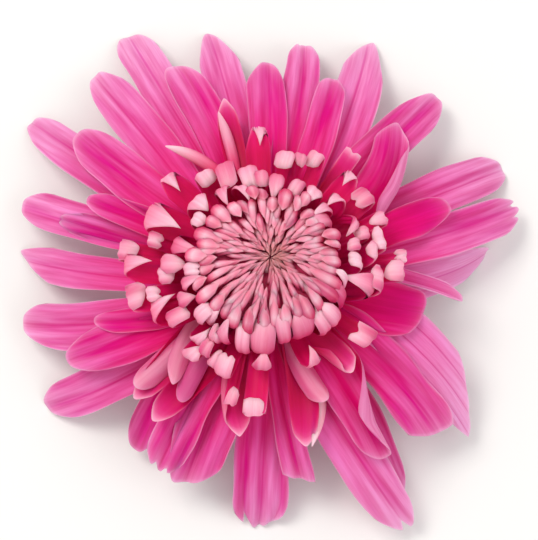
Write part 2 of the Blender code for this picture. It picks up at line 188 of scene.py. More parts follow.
def gridFaces(index):
    # the four corners of each cell in a grid of point numbers
    return np.stack((index[:-1, :-1], index[1:, :-1], index[1:, 1:], index[:-1, 1:]), axis=2).reshape(-1, 4)


def floretShell(line, cells, seed, rootWay, tipWay, width, form):
    # One floret as a closed thin shell, with its root in the direction rootWay and its tip in tipWay.
    # A point at share of the length and across (-1 to 1) starts on the midrib and moves along a
    # cross-section whose slope is cup * across plus the margins' roll; grooves and waves lift it, and
    # the twist turns it about the midrib. The two faces lie half the local thickness either side of
    # that surface and meet at the rim. At the tip the columns are shortened by a power of the
    # distance from the tip's middle, blended by tipOval with half an oval, and by a bell curve at
    # each notch. The crown rounds the place where a hook turns over, and ridgeShift moves the grooves.
    f = {**plainFloret, **form}
    r = floretRules
    along = np.linspace(0.0, 1.0, cells[0] + 1)[:, None]
    across = np.linspace(-1.0, 1.0, cells[1] + 1)[None, :]
    across = across + r["ovalSpread"] * f["tipOval"] * (np.sin(np.pi / 2 * across) - across)
    step = np.diff(across, axis=1) / 2
    fromTip = (across - f["skew"]) / np.where(across > f["skew"], 1.0 - f["skew"], 1.0 + f["skew"])
    bend = np.abs(fromTip) ** f["tipPower"]
    oval = r["ovalDepth"] * (1.0 - np.sqrt(np.maximum(0.0, 1.0 - fromTip ** 2)))
    column = 1.0 - f["tipDepth"] * (bend + f["tipOval"] * (oval - bend))
    for place, depth, spread in f["notches"]:
        column = column - depth * np.exp(-((across - place) / spread) ** 2)
    share = along * column
    radius, height, heading = (np.interp(share, line[0], values) for values in line[1:4])
    way = np.radians(rootWay + (tipWay - rootWay) * share + f["bow"] * np.sin(np.pi * share))

    swell = np.sin(held(share / f["widest"]) * np.pi / 2)
    taper = held((share - f["widest"]) / (1.0 - f["widest"])) ** 2
    half = width / 2 * (f["claw"] + (1.0 - f["claw"]) * swell - (1.0 - f["tipWidth"]) * taper)
    # the outline strays by a coarse ripple and a fine one of half its size, apart on the two margins
    stray = np.where(across > 0.0, 0.0, r["marginShift"]) + r["ripplePhase"] * f["phase"]
    fineRipple = np.sin(r["fineRipple"] * share + r["finePhase"] * stray)
    half = half * (1.0 + f["uneven"] * (np.sin(r["coarseRipple"] * share + stray) + 0.5 * fineRipple))
    cup = f["cup"] + (f["clawCup"] - f["cup"]) * held(1.0 - share / r["clawEnd"])
    tipCup = f["cup"] if f["tipCup"] is None else f["tipCup"]
    cup = cup + (tipCup - cup) * held((share - r["tipStart"]) / (1.0 - r["tipStart"]))
    fading = held((share - r["fadeStart"]) / (1.0 - r["fadeStart"]))
    grown = held((share - f["rollFrom"]) / r["rollGrowth"]) * (1.0 - f["rollFade"] * fading ** 2)
    edgeCcw, edgeCw = (held((outward - f["rollEdge"]) / (1.0 - f["rollEdge"])) ** f["rollPower"]
                       for outward in (across, -across))
    slope = np.radians(cup * across + grown * (f["rollCcw"] * edgeCcw - f["rollCw"] * edgeCw))
    side, lift = runningSum(np.cos(slope), step), runningSum(np.sin(slope), step)
    middle = cells[1] // 2
    side = (side - side[:, middle:middle + 1]) * half
    lift = (lift - lift[:, middle:middle + 1]) * half
    inner = 1.0 - np.abs(across) ** 4
    lift = lift + f["groove"] * np.cos(np.pi * (f["ridges"] * across + f["ridgeShift"])) * swell * inner
    apart = np.where(across > 0.0, 0.0, r["frillShift"])
    frill = np.sin(2 * np.pi * f["waves"] * share + f["phase"] + apart)
    lift = lift + f["wave"] * np.abs(across) ** 3 * frill * swell
    turned = np.radians(f["tilt"] + f["twist"] * share ** 2)
    side, lift = (side * np.cos(turned) - lift * np.sin(turned),
                  side * np.sin(turned) + lift * np.cos(turned))

    radius = radius - lift * np.sin(heading) - f["crown"] * half * across ** 2 * np.sin(np.pi * share)
    surface = np.stack((radius * np.cos(way) - side * np.sin(way),
                        radius * np.sin(way) + side * np.cos(way),
                        height + lift * np.cos(heading)), axis=2)
    normal = np.cross(np.gradient(surface, axis=0), np.gradient(surface, axis=1))
    normal /= np.maximum(np.linalg.norm(normal, axis=2, keepdims=True), 1e-9)
    wall = (f["thickness"] / 2 * (1.0 - r["thinning"] * np.abs(across) ** 3))[..., None] * normal
    upper = surface + wall
    upper[[0, -1]] = surface[[0, -1]]
    upper[:, [0, -1]] = surface[:, [0, -1]]
    lower = (surface - wall)[1:-1, 1:-1]

    rows, columns = surface.shape[:2]
    topIndex = np.arange(rows * columns).reshape(rows, columns)
    lowIndex = topIndex.copy()
    lowIndex[1:-1, 1:-1] = rows * columns + np.arange((rows - 2) * (columns - 2)).reshape(rows - 2, -1)

    # what the material reads: place is the ridges' phase, the paling along the floret and the face
    # (1 above, 0 below, 0.5 at the rim), grain is in mm, and kind is the tone with the painted margin
    # shade, the rim and the share of dust and painted shade
    face = np.full((rows, columns), 0.5)
    face[1:-1, 1:-1] = 1.0
    spread = np.broadcast_to(across, share.shape)
    shade = share
    if f["paleLength"]:
        shade = 1.0 - (1.0 - share) * line[4] / f["paleLength"]
    if f["fullLength"]:
        shade = share * (r["shortPaling"] + (1.0 - r["shortPaling"]) * line[4] / f["fullLength"])
    place = np.stack((spread * f["ridges"] + f["ridgeShift"], np.maximum(shade, 0.0), face), axis=2)
    grain = np.stack((spread * half, share * line[4], np.full_like(share, seed)), axis=2)
    # painted shade: below zero this darkens the margins, which turn away from the light; above zero it
    # makes them paler as the floret's own colour
    edge = f["marginShadeAndTone"] * across ** 2
    drift = (np.sin(share * r["driftAlong"] + seed)
             * np.sin(across * r["driftAcross"] + seed * r["driftSeed"]))
    paling = held(place[..., 1] * r["rimSlope"] - r["rimOffset"])
    rim = np.maximum(np.abs(across) ** f["rimPower"], along ** r["tipRimPower"]) * paling
    kind = np.stack((f["tone"] + edge + r["drift"] * drift, rim, np.full_like(share, f["dustAndShade"])), axis=2)
    lowPlace = place[1:-1, 1:-1].copy()
    lowPlace[..., 2] = 0.0
    if f["backLength"]:
        lowPlace[..., 1] = 1.0 - (1.0 - share[1:-1, 1:-1]) * line[4] / f["backLength"]
    return {
        "points": joined(upper, lower),
        "faces": np.concatenate((gridFaces(topIndex), gridFaces(lowIndex)[:, [0, 3, 2, 1]])),
        "place": joined(place, lowPlace),
        "grain": joined(grain, grain[1:-1, 1:-1]),
        "kind": joined(kind, kind[1:-1, 1:-1]),
    }


def turnedShell(profile, sides, place, wobble=None):
    # A closed turned solid: the profile's points, from the lowest on the axis to the highest on it,
    # carried round the axis; wobble(angle) scales the radius. The two poles are fans, and place is
    # what the material reads at every point, as in floretShell.
    profile = np.array(profile, float)
    angle = np.linspace(0.0, 2 * np.pi, sides, endpoint=False)[:, None]
    scale = np.ones_like(angle) if wobble is None else wobble(angle)
    radius = profile[None, 1:-1, 0] * scale
    ring = np.stack((radius * np.cos(angle), radius * np.sin(angle),
                     np.broadcast_to(profile[None, 1:-1, 1], radius.shape)), axis=2)
    index = np.arange(ring.shape[0] * ring.shape[1]).reshape(ring.shape[:2])
    after = np.roll(index, -1, axis=0)
    low, high = index.size, index.size + 1
    quads = np.stack((index[:, :-1], after[:, :-1], after[:, 1:], index[:, 1:]), axis=2).reshape(-1, 4)
    none = np.full(sides, -1)
    bottom = np.stack((np.full(sides, low), after[:, 0], index[:, 0], none), axis=1)
    top = np.stack((np.full(sides, high), index[:, -1], after[:, -1], none), axis=1)
    points = np.concatenate((ring.reshape(-1, 3), [(0, 0, profile[0, 1]), (0, 0, profile[-1, 1])]))
    return {
        "points": points,
        "faces": np.concatenate((quads, bottom, top)),
        "place": np.tile(np.array(place, float), (len(points), 1)),
        "grain": points.copy(),
        "kind": np.tile((0.0, 0.0, 0.0), (len(points), 1)),
    }


def makePiece(name, shells, material, node):
    # Puts shells into one mesh: points and faces one after another, a face's corners counted on;
    # a corner of -1 is none, so that face is a triangle
    starts = np.cumsum([0] + [len(shell["points"]) for shell in shells[:-1]])
    points = np.concatenate([shell["points"] for shell in shells]) + (*bloomAxis, 0.0)
    points[:, 2] = np.maximum(points[:, 2], 0.0)  # nothing reaches below the surface
    faces = np.concatenate([np.where(shell["faces"] < 0, -1, shell["faces"] + start)
                            for shell, start in zip(shells, starts)])
    corners = faces[faces >= 0]
    counts = (faces >= 0).sum(axis=1)
    mesh = bpy.data.meshes.new(name)
    mesh.vertices.add(len(points))
    mesh.vertices.foreach_set("co", (points * mm).astype(np.float32).ravel())
    mesh.loops.add(corners.size)
    mesh.loops.foreach_set("vertex_index", corners.astype(np.int32))
    mesh.polygons.add(len(faces))
    mesh.polygons.foreach_set("loop_start", (np.cumsum(counts) - counts).astype(np.int32))
    mesh.update(calc_edges=True)
    for key in ("place", "grain", "kind"):
        values = np.concatenate([shell[key] for shell in shells]).astype(np.float32)
        mesh.attributes.new(key, "FLOAT_VECTOR", "POINT").data.foreach_set("vector", values.ravel())
    mesh.validate()
    mesh.shade_smooth()
    mesh.set_sharp_from_angle(angle=math.radians(sharpAngle))
    mesh.materials.append(material)
    piece = addObject(name, mesh)
    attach(piece, body)
    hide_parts(node)
    print(name, "has", int((counts - 2).sum()), "triangles")


def rootDisc(radius, bottom, top):
    # the flat disc that a ring of florets grows from
    return turnedShell(((0, bottom), (radius, bottom), (radius, top), (0, top)), discSides, (0, 0, 0.5))


rayFlorets = {
    "cells": (40, 20),  # grid cells along and across
    "rootRadius": 7.5,  # mm
    "thickness": 0.42,
    "uneven": 0.05,  # share by which an outline strays from its rule
    "fullLength": 46.0,  # mm; a shorter ray keeps the deeper colour up to its tip
    "bowSway": (1.2, 2.3), "ridgeSway": (0.25, 1.3),  # size and pace, see sway
    "phaseStep": 1.7, "seedStep": 7.31,  # from one floret to the next
    "disc": (9.4, 15.2, 17.3),  # radius, bottom and top of what they grow from
    # root height, tip height, turn in degrees, and how far every second ray's tip is raised
    "layers": {0: (15.9, 0.2, -36.0, 3.4), 1: (16.2, 8.6, -28.0, 1.8), 2: (16.5, 14.2, -16.0, 0.0)},
    "tips": {
        "round": {"tipDepth": 0.13, "tipPower": 2.6, "tipOval": 0.9},
        "point": {"tipDepth": 0.26, "tipPower": 1.4, "tipOval": 0.15},
        "notch": {"tipDepth": 0.1, "tipPower": 2.6, "tipOval": 0.6, "notches": ((0.0, 0.045, 0.14),)},
        "lobes": {"tipDepth": 0.1, "tipPower": 2.4, "tipOval": 0.5,
                  "notches": ((-0.34, 0.035, 0.12), (0.3, 0.04, 0.12))},
    },
    "rays": (
        # direction of root and tip in degrees, reach, width, layer, tip, tone, and what else sets it
        # apart, such as raise, by which its tip lies higher
        (100, 102.5, 53.0, 8.4, 0, "point", 0.75,
         {"skew": 0.1, "tipPower": 1.8, "tipDepth": 0.2, "claw": 0.28}),
        (86, 90, 43.6, 7.8, 1, "round", 0.25, {"widest": 0.82, "tipDepth": 0.16}),
        (80, 81.3, 49.0, 7.6, 0, "round", 0.5,
         {"groove": 0.3, "tipDepth": 0.08, "notches": ((0.25, 0.012, 0.1),)}),
        (65, 71.5, 41.9, 6.6, 1, "round", 0.25, {"tipDepth": 0.07}),
        (56, 67.4, 54.0, 9.4, 0, "point", 0.95, {"skew": -0.15, "tipDepth": 0.19, "tipPower": 1.7}),
        (51, 48.1, 50.8, 8.8, 0, "round", 0.45, {"groove": 0.3, "tipDepth": 0.15, "tipPower": 2.1}),
        # one margin folded flat over the upper side, so that the pale back shows
        (24, 50, 40.0, 13.0, 1, "point", 0.1,
         {"rollCw": 165.0, "rollPower": 0.5, "rollFrom": 0.3, "rollFade": 0.3, "bow": -4.0,
          "claw": 0.3, "tipDepth": 0.2, "raise": 3.0}),
        (28, 27.0, 52.6, 8.7, 0, "round", 0.65,
         {"groove": 0.28, "tipDepth": 0.1, "tipPower": 2.7, "tipWidth": 0.85}),
        (9, 17.3, 51.9, 8.6, 0, "lobes", 0.55, {}),
        (18, 21, 38.0, 7.0, 2, "round", -0.2,
         {"wave": 1.2, "waves": 2.4, "uneven": 0.1, "rollCcw": 50, "fullLength": 56.0}),
        (-11, 9.6, 44.2, 7.8, 0, "round", 1.4, {"twist": 50, "fullLength": 30.0}),
        (6, -6, 38.1, 4.4, 1, "round", 0.6,
         {"cup": 80.0, "twist": -20, "fullLength": 34.0, "marginShadeAndTone": 0.8}),
        (-20, -13.5, 31.0, 11.4, 2, "round", -0.5,
         {"marginShadeAndTone": 0.9, "rollCcw": 70, "fullLength": 50.0, "skew": 0.3, "tipDepth": 0.09}),
        (-12.5, -34.5, 49.1, 12.0, 0, "point", 1.3, {"skew": -0.5, "ridges": 4, "fullLength": 34.0}),
        (-34, -42.2, 44.9, 10.4, 1, "point", 0.3,
         {"wave": 1.2, "uneven": 0.11, "tipWidth": 0.95, "tipDepth": 0.14, "tipPower": 2.0, "skew": 0.6}),
        # one margin folded flat over the upper side, so that the pale back shows
        (-50, -56.5, 41.5, 10.0, 1, "round", 0.2,
         {"rollCcw": 165.0, "rollPower": 0.5, "rollEdge": 0.0, "rollFrom": 0.5, "rollFade": 0.3,
          "raise": 2.4}),
        (-53, -59.4, 49.8, 9.5, 0, "round", 0.45, {}),
        (-71, -60.2, 54.7, 9.8, 0, "notch", 0.75, {"skew": 0.1, "tipWidth": 0.6}),
        (-89, -92, 46.7, 10.8, 0, "round", 0.5,
         {"ridges": 3, "groove": 0.5, "claw": 0.3, "widest": 0.85, "tipDepth": 0.06, "skew": -0.3,
          "tipWidth": 0.5, "notches": ((-0.62, 0.06, 0.1),)}),
        (-84, -80.2, 40.0, 6.2, 1, "point", 0.35,
         {"skew": 0.95, "tipDepth": 0.08, "tipPower": 1.0, "tipWidth": 1.0, "widest": 1.0, "claw": 0.4,
          "groove": 0.5}),
        (-123, -118.9, 42.3, 8.7, 1, "lobes", 0.3,
         {"groove": 0.6, "wave": 1.0, "uneven": 0.09, "tipDepth": 0.09}),
        (-107, -111, 42.4, 12.4, 1, "round", 0.3,
         {"skew": -0.5, "groove": 0.8, "wave": 1.0, "rollCcw": 110, "rollEdge": 0.75, "tipDepth": 0.19}),
        (-139, -128.2, 41.0, 7.7, 0, "round", 0.25, {"rollCw": 70}),
        (-139, -151.6, 48.8, 9.0, 0, "round", 0.5, {"tipDepth": 0.11}),
        (-148, -157.6, 41.4, 9.0, 1, "round", 0.25, {"tipDepth": 0.17}),
        (-156, -170.6, 48.0, 10.2, 0, "round", 0.6, {"tipPower": 3.0, "claw": 0.3}),
        (-149, -165, 34.0, 5.0, 2, "round", 0.08, {}),
        (186, 173, 48.6, 7.3, 0, "point", 0.6,
         {"skew": -0.6, "tipDepth": 0.18, "tipPower": 1.8, "claw": 0.24, "widest": 0.8}),
        (162, 161.5, 50.5, 7.5, 0, "round", 0.45, {"tipWidth": 0.85, "claw": 0.28, "widest": 0.75}),
        (168, 163, 42.0, 5.2, 1, "round", 0.15, {}),
        (149, 144.7, 57.4, 8.0, 0, "round", 0.6, {"groove": 0.3, "tipDepth": 0.1, "tipPower": 3.4}),
        (144.5, 142.3, 46.8, 9.2, 1, "round", 0.3, {"tipDepth": 0.15}),
        (134, 128.6, 54.1, 8.7, 0, "round", 0.65, {"groove": 0.3}),
        (154, 156.5, 37.6, 5.8, 2, "round", 0.12, {"rollCcw": 40}),
        (117.5, 118.4, 58.0, 8.3, 0, "round", 0.75,
         {"tipDepth": 0.1, "tipWidth": 0.95, "claw": 0.34, "skew": 0.25}),
        (110, 112.9, 46.6, 9.0, 1, "round", 0.35,
         {"rollCcw": 80, "twist": -12, "tipWidth": 0.85, "skew": 0.3, "tipDepth": 0.17}),
    ),
}


def makeRayFlorets(material):
    s = rayFlorets
    raised = {layer: 0 for layer in s["layers"]}
    shells = [rootDisc(*s["disc"])]
    for i, (rootWay, tipWay, reach, width, layer, tip, tone, extra) in enumerate(s["rays"]):
        rootHeight, tipHeight, turn, step = s["layers"][layer]
        tipHeight += step * raised[layer] + extra.get("raise", 0.0)
        raised[layer] = 1 - raised[layer]
        line = arcLine((s["rootRadius"], rootHeight), (reach, tipHeight), turn)
        form = {"thickness": s["thickness"], "fullLength": s["fullLength"], "uneven": s["uneven"],
                "tone": tone, "phase": i * s["phaseStep"], "bow": sway(i, *s["bowSway"]),
                "ridgeShift": 1.0 + sway(i, *s["ridgeSway"]), **s["tips"][tip], **extra}
        shells.append(floretShell(line, s["cells"], i * s["seedStep"], rootWay, tipWay, width, form))
    makePiece("rayFlorets", shells, material, "outer_rays")


collarFlorets = {
    "cells": (26, 12),
    "boatCells": (28, 22),
    "root": (8.2, 18.7),  # radius and height where every collar floret starts
    "thickness": 0.45,
    "arch": 1.4, "tipLift": -0.3,  # heights of the outer handle and the tip above the dome
    "drop": 3.2,  # how far the farthest hooks let their tips down
    "dropFrom": 13.0, "dropTo": 20.0,
    "tips": {
        "square": {"tipWidth": 0.86, "tipDepth": 0.03, "tipPower": 2.6, "skew": 0.25, "tipCup": 10.0},
        "round": {"tipWidth": 0.65, "tipDepth": 0.1, "tipPower": 2.0, "tipCup": 26.0},
        "notched": {"tipWidth": 0.86, "tipDepth": 0.04, "tipPower": 2.4, "notches": ((0.1, 0.035, 0.22),),
                    "tipCup": 0.0},
        "pointed": {"tipWidth": 0.6, "tipDepth": 0.16, "tipPower": 1.6, "skew": 0.3, "tipCup": 20.0},
        "slanted": {"tipWidth": 0.8, "tipDepth": 0.06, "tipPower": 2.2, "skew": -0.4, "tipCup": 0.0},
        "star": {"tipWidth": 1.1, "tipDepth": 0.02, "tipPower": 1.2, "skew": -0.3, "claw": 0.5,
                 "widest": 1.0, "notches": ((0.1, 0.05, 0.4),), "tipCup": -25.0},
        # cut slantwise to one side or the other, so that the hollow under the hook shows
        "curl": {"tipWidth": 0.4, "tipDepth": 0.34, "tipPower": 1.3, "skew": -0.55, "tipCup": 4.0},
        "hood": {"tipWidth": 0.4, "tipDepth": 0.34, "tipPower": 1.3, "skew": 0.55, "tipCup": 4.0},
    },
    # the hooks' and boats' margin tone below zero is painted shade at their margins
    "hookForm": {"claw": 0.6, "widest": 0.72, "cup": 27.0, "clawCup": 46.0, "groove": 0.1, "wave": 0.06,
                 "marginShadeAndTone": -0.7},
    "boatForm": {"claw": 0.6, "widest": 0.7, "tipWidth": 0.5, "tipDepth": 0.1, "tipPower": 1.8,
                 "cup": 40.0, "clawCup": 48.0, "groove": 0.0, "wave": 0.06, "marginShadeAndTone": -1.0},
    "hookTone": 0.9, "hookCrown": 0.12,  # the middle values that the sways change
    "toneSway": (0.35, 1.9), "crownSway": (0.12, 1.7), "liftSway": (0.5, 2.4), "tiltSway": (8.0, 1.1),
    "bowSway": (2.0, 2.9), "phaseStep": 1.3, "seedStep": 3.17, "boatSeed": 200,
    "fullness": 1.14,  # a cupped floret's width laid flat, as a share of what shows
    "paleLength": 9.0,  # the stretch before the tip, in mm, over which the colour pales
    "paleSpan": 5.0,  # a hook wider than this from crown to tip pales over a longer one
    "disc": (9.9, 17.5, 19.8),  # radius, bottom and top of what they grow from
    "boatTurn": 34.0, "boatBend": 3.0,  # degrees that a boat's midrib turns, mostly near its tip
    # the table's radii are as seen at the height of the camera's aim, and the collar lies nearer
    "nearness": 1.027, "outerTrim": 0.25, "innerTrim": 0.25, "boatNearness": 1.018,
    "lowSide": 0.55,  # how much less far they lie at the picture's lower side
    "hooks": (
        # direction of root and tip in degrees, outermost radius, radius of the turned-in tip, width, tip
        (178, 179, 20.2, 15.2, 3.6, "round"), (150, 158, 25.4, 17.6, 5.8, "curl"),
        (168, 166, 23.0, 20.2, 2.8, "notched"), (171, 172, 28.0, 24.6, 3.8, "slanted"),
        (137, 139, 26.2, 22.2, 4.6, "curl"), (120, 123, 22.2, 19.2, 3.5, "square"),
        (113, 114, 21.9, 16.6, 3.4, "square"), (103, 99, 20.0, 15.2, 3.4, "notched"),
        (81, 81, 22.8, 19.4, 3.4, "square"), (72, 72, 22.8, 20.7, 2.2, "slanted"),
        (63, 67, 24.4, 21.6, 2.8, "square"), (45, 46, 24.4, 21.6, 4.4, "hood"),
        (33, 37, 24.6, 21.0, 3.6, "notched"), (23, 24, 24.8, 21.6, 3.0, "round"),
        (9, 15, 22.9, 20.9, 4.4, "slanted"), (18, 20, 20.7, 17.9, 2.4, "square"),
        (-1, 9, 21.2, 19.2, 4.0, "round"), (6, 6, 26.5, 24.6, 2.4, "notched"),
        (-4, -1, 26.2, 22.6, 4.0, "slanted"), (-13, -4, 22.3, 19.8, 4.6, "slanted"),
        (-24, -5, 21.4, 14.0, 4.0, "curl"), (-24, -6, 15.8, 13.0, 1.8, "round"),
        (-37, -36, 24.9, 20.6, 3.6, "star"), (-65, -63, 21.6, 17.4, 3.4, "hood"),
        (-95, -95, 28.6, 25.4, 4.0, "square"), (-107, -104, 27.4, 24.0, 2.2, "slanted"),
        (-94, -92, 20.5, 16.8, 3.4, "pointed"), (-111, -113, 23.2, 18.6, 3.2, "notched"),
        (-118, -118, 22.2, 18.4, 2.2, "round"), (-121, -127, 21.2, 17.6, 2.2, "notched"),
        (-129, -129, 23.4, 19.6, 3.4, "pointed"), (-139, -133, 20.4, 16.0, 3.2, "hood"),
        (-146, -150, 21.8, 17.2, 2.8, "square"), (-149, -162, 23.8, 18.0, 3.8, "curl"),
        (-165, -166, 23.2, 20.6, 2.8, "notched"), (-163, -169, 27.0, 23.4, 4.6, "slanted"),
        (-174, -174, 20.5, 17.4, 2.9, "slanted"), (-179, -182, 27.0, 21.6, 5.0, "curl"),
        (94, 94, 27.6, 24.2, 4.4, "curl"), (156, 172, 18.6, 12.0, 3.4, "curl"),
        (144, 135, 19.0, 15.0, 4.0, "pointed"), (149, 146, 16.9, 13.8, 2.7, "slanted"),
        (95, 92, 18.6, 15.0, 2.4, "square"), (121, 121, 17.6, 12.6, 3.0, "hood"),
        (109, 106, 16.6, 11.9, 2.8, "curl"), (87, 83, 18.2, 12.2, 2.7, "pointed"),
        (11, 13, 18.4, 15.7, 2.3, "slanted"), (-2, 5, 18.2, 15.6, 2.8, "square"),
        (37, 43, 19.6, 16.0, 3.6, "hood"), (66, 70, 18.1, 13.8, 2.5, "notched"),
        (55, 56, 18.0, 14.0, 3.1, "pointed"), (43, 44, 16.8, 12.0, 2.6, "hood"),
        (52, 20, 19.6, 16.2, 1.9, "pointed"), (-43, -36, 18.0, 13.2, 3.0, "round"),
        (-50, -44, 17.8, 12.4, 2.8, "notched"), (-70, -57, 16.2, 10.2, 4.2, "pointed"),
        (-92, -91, 17.8, 9.6, 4.4, "round"), (-102, -110, 18.0, 12.0, 2.6, "square"),
        (-113, -121, 17.6, 12.2, 3.0, "curl"), (-123, -127, 18.1, 14.8, 2.0, "notched"),
        (-131, -137, 16.2, 11.9, 2.6, "pointed"), (-146, -142, 17.3, 13.3, 2.8, "slanted"),
        (-156, -157, 18.3, 14.6, 3.0, "pointed"), (-170, -166, 16.8, 11.6, 2.6, "curl"),
        (-176, -175, 15.8, 12.3, 2.4, "notched"), (-36, -16, 16.8, 10.6, 3.2, "pointed"),
        (-79, -75, 16.0, 9.5, 2.4, "slanted"), (31, 44, 15.6, 8.4, 2.8, "square"),
    ),
    "folded": {"rollEdge": 0.45, "rollPower": 0.5, "rollFrom": 0.05, "rollFade": 0.7, "backLength": 44.0,
               "claw": 0.28, "widest": 0.85, "tipDepth": 0.2},
    "scooped": {"rollEdge": 0.1, "rollFrom": 0.4, "tipCup": 30.0},
    # upside down, so that the whole pale back shows
    "turned": {"tilt": 180.0, "cup": 44.0, "clawCup": 60.0, "tipCup": 70.0, "claw": 0.35, "widest": 0.85,
               "tipWidth": 0.8, "tipDepth": 0.14, "tipPower": 2.2, "backLength": 44.0},
    "flared": {"widest": 1.0, "tipWidth": 1.0, "tipDepth": 0.02, "notches": ((0.0, 0.03, 0.3),),
               "tipCup": -30.0},
    "boats": (
        # direction of root and tip, reach, height of the tip, width, tone, form, what else sets it apart
        # a share in the third value lays the hooked skin's lilac colour over a boat as painted shade
        (-141, -136, 35.2, 17.4, 6.6, 0.1, "scooped", {"rollCw": 60, "tipCup": 44.0}),
        (-145, -138.2, 33.6, 19.4, 5.6, 0.5, "turned", {"bow": 2.0, "dustAndShade": 0.35}),
        (-152, -129, 28.4, 20.6, 5.2, 0.5, "turned", {"tipDepth": 0.24, "tipWidth": 0.5, "dustAndShade": 0.35}),
        (-131, -123, 30.2, 20.2, 4.4, 0.1, "turned", {"backLength": 20.0, "clawCup": 50.0, "dustAndShade": 0.7}),
        (-120, -127, 36.0, 17.6, 7.4, 0.0, "scooped", {"rollCw": 30, "rollCcw": 50}),
        (-112, -99, 32.3, 18.8, 7.6, 0.1, "folded", {"rollCw": 160, "bow": -3.0}),
        (-66, -77, 34.6, 18.0, 6.6, 0.0, "scooped", {"rollCcw": 30}),
        (-58, -75.5, 35.0, 18.6, 3.4, 1.0, "turned",
         {"bow": 3.0, "tipWidth": 0.3, "tipDepth": 0.3, "claw": 0.1, "backLength": 40.0}),
        (-75, -66, 27.8, 20.8, 5.0, 0.5, "turned", {"claw": 0.2, "backLength": 26.0, "dustAndShade": 0.3}),
        (-57, -50, 25.8, 20.8, 7.0, 0.4, "scooped",
         {"rollCw": 150, "rollEdge": 0.2, "rollFade": 0.3, "rollPower": 0.6}),
        (106, 128.5, 31.4, 20.2, 3.2, 0.9, "turned",
         {"claw": 0.1, "tipWidth": 0.55, "tipDepth": 0.24, "bow": -4.0, "backLength": 12.0}),
        (106, 103.4, 35.4, 18.6, 4.8, 0.0, "scooped", {}),
        (112, 106.4, 32.8, 20.0, 2.6, 0.9, "turned",
         {"claw": 0.2, "tipWidth": 0.5, "tipDepth": 0.3, "bow": -3.0, "backLength": 14.0, "dustAndShade": 0.1}),
        (54, 54, 29.2, 20.4, 3.6, -0.5, "flared", {}),
    ),
}


def makeCollarFlorets(material):
    s = collarFlorets
    shells = [rootDisc(*s["disc"])]
    for i, (rootWay, tipWay, outer, inner, width, tip) in enumerate(s["hooks"]):
        low = s["lowSide"] * max(0.0, -math.sin(math.radians(tipWay)))
        outer = outer / s["nearness"] - s["outerTrim"] - low
        inner = inner / s["nearness"] + s["innerTrim"] - low
        away = min(1.0, max(0.0, (outer - s["dropFrom"]) / (s["dropTo"] - s["dropFrom"])))
        lift = sway(i, *s["liftSway"])
        line = hookLine(s["root"], outer, inner, s["arch"] + lift, s["tipLift"] - s["drop"] * away + lift)
        paleLength = s["paleLength"] * max(1.0, (outer - inner) / s["paleSpan"])
        form = {**s["hookForm"], **s["tips"][tip], "thickness": s["thickness"], "paleLength": paleLength,
                "tone": s["hookTone"] + sway(i, *s["toneSway"]), "tilt": sway(i, *s["tiltSway"]),
                "bow": sway(i, *s["bowSway"]), "crown": s["hookCrown"] + sway(i, *s["crownSway"]),
                "phase": i * s["phaseStep"]}
        shells.append(floretShell(line, s["cells"], i * s["seedStep"], rootWay, tipWay,
                                  width * s["fullness"], form))
    for i, (rootWay, tipWay, reach, height, width, tone, kind, extra) in enumerate(s["boats"]):
        line = arcLine(s["root"], (reach / s["boatNearness"], height), s["boatTurn"], s["boatBend"])
        form = {**s["boatForm"], "thickness": s["thickness"], "paleLength": s["paleLength"],
                "tone": tone, **s[kind], **extra}
        shells.append(floretShell(line, s["boatCells"], s["boatSeed"] + i * s["seedStep"], rootWay,
                                  tipWay, width, form))
    makePiece("collarFlorets", shells, material, "collar_florets")


